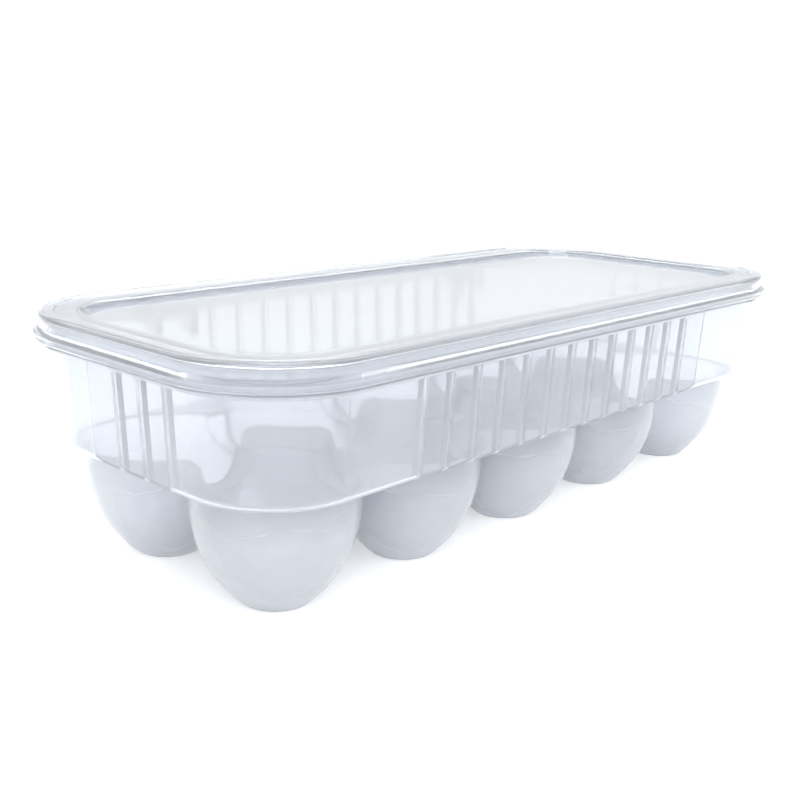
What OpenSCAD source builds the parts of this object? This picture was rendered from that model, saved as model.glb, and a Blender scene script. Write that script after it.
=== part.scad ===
// Egg keeper: a clear moulded tub with ten hanging egg cups and a flip lid
// hinged along the back. X runs along the long side, the front is at -Y and
// Z is up. The origin is on the table, under the middle of the whole plan.

/* [Egg cups] */
// Cups along the length
cup_columns = 5; // [3:1:6]
// Rows of cups from front to back
cup_rows = 2; // [1:1:3]
// Distance between neighbouring cup centres
cup_pitch = 50; // [49:0.5:56]
// Outer radius of a cup at its belly
cup_belly_r = 23.3; // [20:0.1:23.6]
// Height of the belly, where the side of a cup stands upright
belly_h = 29; // [26:0.5:31]
// Radius of the arc that the side of a cup follows below the belly
cup_side_r = 38.3; // [34:0.1:48]
// Radius of the bend from a cup into the floor, on the lower side
cup_bend_r = 2; // [1:0.1:2.5]
// Radius of the channel that joins two neighbouring cups, on the upper side
channel_r = 9.5; // [5:0.5:11]

/* [Tub] */
// Wall thickness of the tub
tub_wall = 1; // [0.8:0.1:1.4]
// Height of the floor's underside above the table
floor_h = 34; // [32:0.5:38]
// Height of the tub's top edge
rim_h = 71.6; // [68:0.2:90]
// Flat floor between a cup's mouth and the wall
floor_margin = 3; // [2.5:0.1:8]
// Corner radius of the wall where it meets the floor
corner_r = 27; // [20:0.5:30]
// Outward lean of the wall in degrees
wall_lean = 3; // [1:0.5:4]
// Radius of the outer edge between wall and floor
foot_r = 3; // [2:0.1:3]

/* [Pleats] */
// Distance between two pleat lines
pleat_pitch = 11.3; // [9:0.1:12]
// Depth of the step at each pleat line
pleat_depth = 1.8; // [0.5:0.1:2]
// Pleat lines on each long side
long_lines = 14; // [2:1:16]
// Pleat lines on each short side
short_lines = 4; // [2:1:4]
// Depth of the pleats' crests below the plain wall beside them
crest_drop = 0.15; // [0.05:0.05:0.5]

/* [Flange and rim] */
// Height of the flange's underside below the rim's top edge
flange_drop = 7.6; // [6:0.1:9]
// Thickness of the flange
flange_t = 1.6; // [1:0.1:2]
// Set of the rim's wall beyond the wall below the flange
rim_step = 0.2; // [0.1:0.1:1.5]
// Reach of the flange beyond the rim's wall
flange_reach = 3.2; // [3:0.1:4.5]
// Reach of the bead on the rim's top edge beyond the rim's wall
bead_reach = 1.9; // [1:0.1:3]
// Height of the bead on the rim's top edge
bead_h = 1.4; // [1:0.1:2]

/* [Lid] */
// Wall thickness of the lid
lid_wall = 1.2; // [0.8:0.1:1.6]
// Gap between the resting lid and the tub under it
seat_gap = 0.3; // [0.2:0.05:0.5]
// Gap between the lid's skirt and the rim's bead
skirt_gap = 0.6; // [0.4:0.05:1.2]
// Height of the raised edge band above the border
band_h = 0.5; // [0.2:0.1:0.8]
// Width of the raised edge band
band_w = 4; // [2.5:0.1:6]
// Radius of the lid's upper outer edge
lid_edge_r = 1; // [0.5:0.1:1.2]
// Distance from the lid's outer edge to the window's edge
border_w = 11.5; // [9:0.5:16]
// Depth of the window below the border
window_drop = 1.8; // [1:0.1:2.4]
// Slope length of the window's edge in plan
window_slope = 0.8; // [0.4:0.1:1.5]
// Reach of the lip at the foot of the skirt
lip_reach = 1.5; // [1:0.1:2.5]
// Height of the lip's upright outer face
lip_face = 2.1; // [1.5:0.1:2.4]
// Height of the slope from the lip's face up to the skirt
lip_slope = 1.4; // [0.8:0.1:1.6]
// Chamfer under the lip's outer edge
lip_chamfer = 0.6; // [0.2:0.1:0.8]

/* [Hinge] */
// Distance between the two hinges
hinge_spacing = 150; // [80:1:180]
// Length of the barrel on the lid
barrel_len = 10; // [6:0.5:20]
// Outer radius of the barrel
barrel_r = 2.4; // [2.2:0.1:2.6]
// Radius of the moulded pins at the ends of the barrel
pin_r = 1.3; // [1:0.1:1.6]
// Running clearance of a pin in its bore, on the radius
pin_play = 0.06; // [0.02:0.01:0.1]
// Thickness of a hinge ear
ear_t = 3; // [2:0.1:4]
// Outer radius of a hinge ear
ear_r = 2.8; // [2.7:0.1:3]
// Side gap between a barrel and its ears
ear_gap = 0.3; // [0.2:0.05:0.6]
// Height of the web that carries an ear on the wall
ear_web_h = 8; // [4:0.5:12]
// Opening angle at which the lid meets the heels of the ears
open_angle = 110; // [95:1:120]
// Reach of the heel behind an ear's pin
heel_reach = 4.8; // [4:0.1:5.5]

/* [Hidden] */
$fn = 96;
// Small overlap that makes cuts and joints run clean through
eps = 0.01;
// Lift of a cup's bend, so that it crosses the floor instead of grazing it
bend_lift = 0.08;

// Mouth radius of a cup at the floor, where its bend ends
mouth_r = cup_belly_r + cup_bend_r;
floor_top = floor_h + tub_wall;
half_len = (cup_columns - 1) * cup_pitch / 2 + mouth_r + floor_margin;
half_wid = (cup_rows - 1) * cup_pitch / 2 + mouth_r + floor_margin;
// The corner centres are shared by every outline of tub and lid
centre_x = half_len - corner_r;
centre_y = half_wid - corner_r;
flange_h = rim_h - flange_drop;
flange_top = flange_h + flange_t;
rim_r = corner_r + (flange_h - floor_h) * tan(wall_lean) + rim_step;
flange_r = rim_r + flange_reach;
bead_r = rim_r + bead_reach;

// Lid outlines, measured from the shared corner centres
lid_r = bead_r + skirt_gap + lid_wall;
lip_bottom = flange_top + seat_gap;
lip_r = lid_r + lip_reach;
border_top = rim_h + seat_gap + lid_wall;
lid_top = border_top + band_h;
window_top = border_top - window_drop;

// Hinge axis: under the lip and clear of the flange
axis_z = lip_bottom - seat_gap - ear_r;
axis_y = centre_y + flange_r + barrel_r + ear_gap;
heel_slope = open_angle - 90;
// The heels reach past the lid, so everything is moved forward by half of
// what they add
plan_shift = (axis_y + heel_reach - centre_y - lip_r) / 2;
barrel_ends = barrel_len / 2 + ear_gap + ear_t;

// Outline helpers

// A solid with the child's section all round: four straight runs, four
// rounded corners and a core from z0 to z1
module round_body(z0, z1) {
    round_corners() children();
    for (turn = [0, 180]) {
        rotate([0, 0, turn]) translate([centre_x, 0, 0]) straight_run(-centre_y, centre_y) children();
        rotate([0, 0, turn + 90]) translate([centre_y, 0, 0]) straight_run(-centre_x, centre_x) children();
    }
    core(z0, z1);
}

module round_corners() {
    for (sx = [-1, 1], sy = [-1, 1])
        translate([sx * centre_x, sy * centre_y, 0])
            rotate([0, 0, sx > 0 ? (sy > 0 ? 0 : 270) : (sy > 0 ? 90 : 180)])
                rotate_extrude(angle = 90) children();
}

module straight_run(y0, y1) {
    translate([0, y1, 0]) rotate([90, 0, 0]) linear_extrude(y1 - y0) children();
}

module core(z0, z1) {
    translate([-centre_x, -centre_y, z0]) cube([2 * centre_x, 2 * centre_y, z1 - z0]);
}

// Pleated walls

// Air outside one pleated side as [along, out] points, out being measured from
// the plain wall. At each line the wall steps back, and then it ramps out
// again. inset is 0 for the outside and the wall's thickness for the hollow.
function pleat_air(lines, inset) =
    let (
        first = -(lines - 1) / 2 * pleat_pitch - inset,
        lean = atan(pleat_depth / pleat_pitch),
        crest = -crest_drop - inset * (tan(lean) + 1 / cos(lean)),
        ramp_end = first + (lines - 1) * pleat_pitch + (3 - crest) * pleat_pitch / pleat_depth
    )
    [
        for (i = [0 : lines - 2], step = [0, 1])
            [first + i * pleat_pitch, step == 1 ? crest - pleat_depth : (i == 0 ? 3 : crest)],
        [ramp_end, 3]
    ];

// The same air as a solid that leans with the wall, on a side facing -Y at the
// given distance from the middle
module pleat_cut(reach, lines, inset) {
    translate([0, -reach, floor_h])
        rotate([wall_lean, 0, 0])
            translate([0, 0, -10])
                linear_extrude(flange_h - floor_h + 20)
                    polygon([for (p = pleat_air(lines, inset)) [p[0], -p[1]]]);
}

// Tub's outside, or its hollow, from z0 to z1: a rounded box cut by the pleats
module pleated_body(z0, z1, inset) {
    difference() {
        round_body(z0, z1) wall_section(inset, z0, z1);
        for (turn = [0, 180]) {
            rotate([0, 0, turn]) pleat_cut(half_wid, long_lines, inset);
            rotate([0, 0, turn - 90]) mirror([1, 0, 0]) pleat_cut(half_len, short_lines, inset);
        }
    }
}

// Section of the leaning wall with its rounded foot, from a corner centre out
module wall_section(inset, z0, z1) {
    foot = foot_r - inset;
    foot_x = corner_r - foot_r + foot_r * tan(wall_lean / 2);
    face_x = foot_x + foot / cos(wall_lean) - (floor_h + foot_r) * tan(wall_lean);
    union() {
        polygon([
            [0, z0],
            [foot_x, z0],
            [foot_x, z0 + foot],
            [foot_x + foot * cos(wall_lean), z0 + foot - foot * sin(wall_lean)],
            [face_x + z1 * tan(wall_lean), z1],
            [0, z1]
        ]);
        translate([foot_x, z0 + foot]) circle(foot);
    }
}

// Egg cups

module each_cup() {
    for (i = [0 : cup_columns - 1], j = [0 : cup_rows - 1])
        translate([(i - (cup_columns - 1) / 2) * cup_pitch, (j - (cup_rows - 1) / 2) * cup_pitch, 0])
            children();
}

// Half section of a cup below the belly, thinned by inset for the hollow
module cup_bowl(inset) {
    intersection() {
        translate([cup_belly_r - cup_side_r, belly_h]) circle(cup_side_r - inset, $fn = 360);
        translate([0, inset]) square([cup_belly_r, belly_h - inset + eps]);
    }
}

module cup_outside() {
    rotate_extrude() union() {
        cup_bowl(0);
        translate([0, belly_h]) square([cup_belly_r, floor_top - belly_h - eps]);
        difference() {
            translate([0, floor_h - cup_bend_r]) square([mouth_r, cup_bend_r + tub_wall * 0.7]);
            translate([mouth_r, floor_h - cup_bend_r + bend_lift]) circle(cup_bend_r);
        }
    }
}

module cup_hollow() {
    bend = cup_bend_r + tub_wall;
    rotate_extrude() union() {
        cup_bowl(tub_wall);
        translate([0, belly_h]) square([cup_belly_r - tub_wall, floor_top + foot_r - belly_h]);
        difference() {
            translate([0, floor_h - cup_bend_r]) square([mouth_r, bend + eps]);
            translate([mouth_r, floor_h - cup_bend_r + bend_lift]) circle(bend);
        }
    }
}

// Channels between neighbouring cups, as rods of the given radius
module channels(r) {
    for (i = [0 : cup_columns - 2], j = [0 : cup_rows - 1])
        translate([(i + 0.5 - (cup_columns - 1) / 2) * cup_pitch, (j - (cup_rows - 1) / 2) * cup_pitch, floor_top])
            rotate([0, 90, 0]) cylinder(r = r, h = cup_pitch / 2, center = true);
    if (cup_rows > 1)
        for (i = [0 : cup_columns - 1], j = [0 : cup_rows - 2])
            translate([(i - (cup_columns - 1) / 2) * cup_pitch, (j + 0.5 - (cup_rows - 1) / 2) * cup_pitch, floor_top])
                rotate([90, 0, 0]) cylinder(r = r, h = cup_pitch / 2, center = true);
}

module lower_half() {
    intersection() {
        children();
        translate([-half_len, -half_wid, 0]) cube([2 * half_len, 2 * half_wid, floor_top - eps]);
    }
}

// Hinge

module each_hinge() {
    for (side = [-1, 1])
        translate([side * hinge_spacing / 2, axis_y, axis_z]) children();
}

// Side view of an ear about the pin axis, with its web and its heel
module ear_profile() {
    root_y = centre_y + corner_r + (axis_z - ear_web_h - floor_h) * tan(wall_lean) - tub_wall / 2 - axis_y;
    union() {
        circle(ear_r);
        polygon([
            [root_y, -ear_web_h],
            [0, -ear_r],
            [0, 0],
            [0, ear_r],
            [root_y, ear_r]
        ]);
        polygon([
            [0, -ear_r],
            [heel_reach, heel_line(heel_reach) - tub_wall],
            [heel_reach, heel_line(heel_reach)],
            [ear_r * 0.8, heel_line(ear_r * 0.8)],
            [0, 0]
        ]);
    }
}

// Height of the heel's top at y: parallel to the open lid's outer lip face,
// one seat gap below it
function heel_line(y) =
    let (face_y = centre_y + lip_r - axis_y)
    (-y * sin(heel_slope) - seat_gap + face_y) / cos(heel_slope);

module ears() {
    each_hinge()
        for (side = [-1, 1])
            translate([side * (barrel_len / 2 + ear_gap + ear_t / 2), 0, 0])
                rotate([90, 0, 90]) linear_extrude(ear_t, center = true) ear_profile();
}

module ear_bores() {
    each_hinge() rotate([0, 90, 0])
        cylinder(r = pin_r + pin_play, h = 2 * barrel_ends + 2, center = true, $fn = 48);
}

// Barrel with its moulded pins, and the tab that joins it to the lid's lip
module barrels() {
    tab_t = 2 * lid_wall;
    lip_y = centre_y + lip_r - axis_y;
    each_hinge() {
        rotate([0, 90, 0]) cylinder(r = barrel_r, h = barrel_len, center = true, $fn = 64);
        rotate([0, 90, 0]) cylinder(r = pin_r, h = 2 * barrel_ends, center = true, $fn = 48);
        translate([-barrel_len / 2, lip_y - lip_chamfer - lid_wall, 0])
            cube([barrel_len, tab_t, lip_bottom + lip_face - axis_z]);
    }
}

// Lid section from a corner centre out, from the window to the lip
module lid_section() {
    inner_r = lid_r - lid_wall;
    step_r = lid_r - border_w;
    under = border_top - lid_wall;
    lip_face_top = lip_bottom + lip_face;
    union() {
        polygon([
            [0, window_top],
            [step_r - window_slope, window_top],
            [step_r, border_top],
            [lid_r - band_w - band_h, border_top],
            [lid_r - band_w, lid_top],
            [lid_r - lid_edge_r, lid_top],
            [lid_r - lid_edge_r, lid_top - lid_edge_r],
            [lid_r, lid_top - lid_edge_r],
            [lid_r, lip_face_top + lip_slope],
            [lip_r, lip_face_top],
            [lip_r, lip_bottom + lip_chamfer],
            [lip_r - lip_chamfer, lip_bottom],
            [inner_r, lip_bottom],
            [inner_r, under],
            [step_r + lid_wall, under],
            [step_r + lid_wall - window_slope, window_top - lid_wall],
            [0, window_top - lid_wall]
        ]);
        translate([lid_r - lid_edge_r, lid_top - lid_edge_r]) circle(lid_edge_r);
    }
}

// Pieces

module tub() {
    color([0.87, 0.89, 0.91, 0.55]) translate([0, -plan_shift, 0]) difference() {
        union() {
            pleated_body(floor_h, flange_h + flange_t / 2, 0);
            round_body(flange_h, flange_top) flange_section();
            round_body(flange_top - flange_t / 2, rim_h) rim_section();
            each_cup() cup_outside();
            lower_half() channels(channel_r + tub_wall);
            ears();
        }
        pleated_body(floor_top, flange_h, tub_wall);
        straight_hollow(flange_h - eps, flange_top + eps, rim_r - rim_step - pleat_depth - 2 * tub_wall);
        straight_hollow(flange_top, rim_h + eps, rim_r - tub_wall);
        each_cup() cup_hollow();
        channels(channel_r);
        ear_bores();
    }
}

module flange_section() {
    edge_r = flange_t / 2;
    union() {
        translate([0, flange_h]) square([flange_r - edge_r, flange_t]);
        translate([flange_r - edge_r, flange_h + edge_r]) circle(edge_r, $fn = 32);
    }
}

module rim_section() {
    z0 = flange_top - flange_t / 2;
    edge_r = bead_h / 2;
    union() {
        translate([0, z0]) square([rim_r, rim_h - z0]);
        translate([0, rim_h - bead_h]) square([bead_r - edge_r, bead_h]);
        translate([bead_r - edge_r, rim_h - edge_r]) circle(edge_r, $fn = 32);
    }
}

// Upright hollow from z0 to z1, with radius r about the corner centres
module straight_hollow(z0, z1, r) {
    round_body(z0, z1) translate([0, z0]) square([r, z1 - z0]);
}

module lid() {
    color([0.90, 0.92, 0.94, 0.45]) translate([0, -plan_shift, 0]) union() {
        round_body(window_top - lid_wall, window_top) lid_section();
        barrels();
    }
}

tub();
lid();
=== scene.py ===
import math
import bpy
from mathutils import Matrix, Vector

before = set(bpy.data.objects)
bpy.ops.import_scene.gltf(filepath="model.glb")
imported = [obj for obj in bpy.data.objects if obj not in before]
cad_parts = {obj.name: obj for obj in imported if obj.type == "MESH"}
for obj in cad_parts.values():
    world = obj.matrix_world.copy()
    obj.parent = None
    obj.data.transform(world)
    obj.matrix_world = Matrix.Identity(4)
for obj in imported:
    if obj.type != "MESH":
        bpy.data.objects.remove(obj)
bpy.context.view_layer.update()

# Top of the tub's floor: the cups' frost starts just under it
FLOOR_TOP = 0.035
# Camera, solved from the photograph: its distance to the point it looks at, and that point
CAMERA_DISTANCE = 0.3709
LOOK_AT = Vector((-0.01239, 0.00945, 0.03275))


def linear(hex_colour):
    """An sRGB hex colour as the linear RGBA that Blender's sockets take."""
    parts = [int(hex_colour[i:i + 2], 16) / 255 for i in (1, 3, 5)]
    return tuple(p / 12.92 if p <= 0.04045 else ((p + 0.055) / 1.055) ** 2.4 for p in parts) + (1.0,)


def add(tree, kind, links=(), **values):
    """Adds one node.

    values set its attributes or its inputs, and links are (input name, socket) pairs.
    """
    node = tree.nodes.new(kind)
    for name, value in values.items():
        socket = node.inputs.get(name.replace("_", " "))
        if socket is not None:
            socket.default_value = value
        else:
            setattr(node, name, value)
    for name, source in links:
        tree.links.new(source, node.inputs[name])
    return node


def clear_plastic(name, tint, low_rough, high_rough, frost_top, milk):
    """Injection-moulded clear plastic, slightly milky, with a fine frost from the mould below frost_top.

    milk is the share of white in the walls; it grows by half towards the cups' undersides.
    """
    m = bpy.data.materials.new(name)
    m.use_nodes = True
    t = m.node_tree
    t.nodes.clear()
    where = add(t, "ShaderNodeTexCoord")
    split = add(t, "ShaderNodeSeparateXYZ", [("Vector", where.outputs["Object"])])
    place = [("Vector", where.outputs["Object"])]
    flow = add(t, "ShaderNodeTexNoise", place, Scale=38.0, Detail=2.0, Roughness=0.5)
    frost = add(t, "ShaderNodeMapRange", [("Value", split.outputs["Z"])])
    frost.inputs["From Min"].default_value = frost_top - 0.0006
    frost.inputs["From Max"].default_value = frost_top + 0.0002
    frost.inputs["To Min"].default_value = low_rough
    frost.inputs["To Max"].default_value = high_rough
    ripple = add(t, "ShaderNodeBump", [("Height", flow.outputs["Fac"])], Strength=0.12, Distance=0.0006)
    shader = add(
        t,
        "ShaderNodeBsdfPrincipled",
        [("Roughness", frost.outputs["Result"]), ("Normal", ripple.outputs["Normal"])],
        IOR=1.49,
    )
    shader.inputs["Base Color"].default_value = linear(tint)
    clarity = add(t, "ShaderNodeMapRange", [("Value", split.outputs["Z"])])
    clarity.inputs["From Min"].default_value = frost_top - 0.012
    clarity.inputs["From Max"].default_value = frost_top + 0.002
    clarity.inputs["To Min"].default_value = 1 - 1.5 * milk
    clarity.inputs["To Max"].default_value = 1 - milk
    cloud = add(t, "ShaderNodeTexNoise", place, Scale=30.0, Detail=3.0, Roughness=0.6)
    haze = add(t, "ShaderNodeMapRange", [("Value", cloud.outputs["Fac"])])
    haze.inputs["From Min"].default_value = 0.3
    haze.inputs["From Max"].default_value = 0.7
    haze.inputs["To Min"].default_value = -0.02
    haze.inputs["To Max"].default_value = 0.02
    mixed = add(t, "ShaderNodeMath", operation="ADD")
    t.links.new(clarity.outputs["Result"], mixed.inputs[0])
    t.links.new(haze.outputs["Result"], mixed.inputs[1])
    t.links.new(mixed.outputs["Value"], shader.inputs["Transmission Weight"])
    add(t, "ShaderNodeOutputMaterial", [("Surface", shader.outputs["BSDF"])])
    return m


def pale_floor():
    """Plain white studio paper."""
    m = bpy.data.materials.new("studio_paper")
    m.use_nodes = True
    shader = m.node_tree.nodes["Principled BSDF"]
    shader.inputs["Base Color"].default_value = linear("#f4f5f6")
    shader.inputs["Roughness"].default_value = 1.0
    shader.inputs["Emission Color"].default_value = linear("#ffffff")
    shader.inputs["Emission Strength"].default_value = 0.35
    return m


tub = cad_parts["tub"]
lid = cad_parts["lid"]
tub_plastic = clear_plastic("clear_moulded_tub", "#e8ebf0", 0.26, 0.07, FLOOR_TOP, 0.20)
lid_plastic = clear_plastic("clear_moulded_lid", "#e8ebf0", 0.06, 0.06, 0.0, 0.16)
for node, material in ((tub, tub_plastic), (lid, lid_plastic)):
    node.data.materials.clear()
    node.data.materials.append(material)

# Stage: a pale floor that runs back to a white surround
bpy.ops.mesh.primitive_plane_add(size=12)
floor = bpy.context.object
floor.name = "stage_floor"
floor.data.materials.append(pale_floor())

world = bpy.data.worlds.new("studio_white")
bpy.context.scene.world = world
world.use_nodes = True
background = world.node_tree.nodes["Background"]
background.inputs["Color"].default_value = linear("#fdfeff")
background.inputs["Strength"].default_value = 1.06


def softbox(name, at, towards, size, power):
    light = bpy.data.lights.new(name, "AREA")
    light.shape = "RECTANGLE"
    light.size, light.size_y = size
    light.energy = power
    o = bpy.data.objects.new(name, light)
    bpy.context.collection.objects.link(o)
    o.location = at
    o.rotation_euler = (Vector(towards) - Vector(at)).to_track_quat("-Z", "Y").to_euler()
    return o


softbox("key_softbox", (-0.5, -0.7, 1.1), (0, 0, 0.03), (0.9, 0.9), 9)
softbox("top_softbox", (0.2, 0.3, 1.2), (0, 0, 0.03), (1.2, 0.8), 8)

# Camera at the photograph's angle
AZIMUTH, ELEVATION, ROLL = math.radians(47.01), math.radians(14.84), math.radians(1.47)
level = Vector((math.sin(AZIMUTH), math.cos(AZIMUTH), 0))
look = math.cos(ELEVATION) * level - Vector((0, 0, math.sin(ELEVATION)))
side = Vector((math.cos(AZIMUTH), -math.sin(AZIMUTH), 0))
up = side.cross(look)
side, up = math.cos(ROLL) * side + math.sin(ROLL) * up, -math.sin(ROLL) * side + math.cos(ROLL) * up
camera = bpy.data.objects.new("camera", bpy.data.cameras.new("camera"))
bpy.context.collection.objects.link(camera)
camera.data.sensor_width = 36
camera.data.lens = 47.99
camera.data.clip_start = 0.01
turned = Matrix((side, up, -look)).transposed().to_4x4()
camera.matrix_world = Matrix.Translation(LOOK_AT - CAMERA_DISTANCE * look) @ turned
bpy.context.scene.camera = camera
bpy.context.scene.view_settings.view_transform = "Standard"
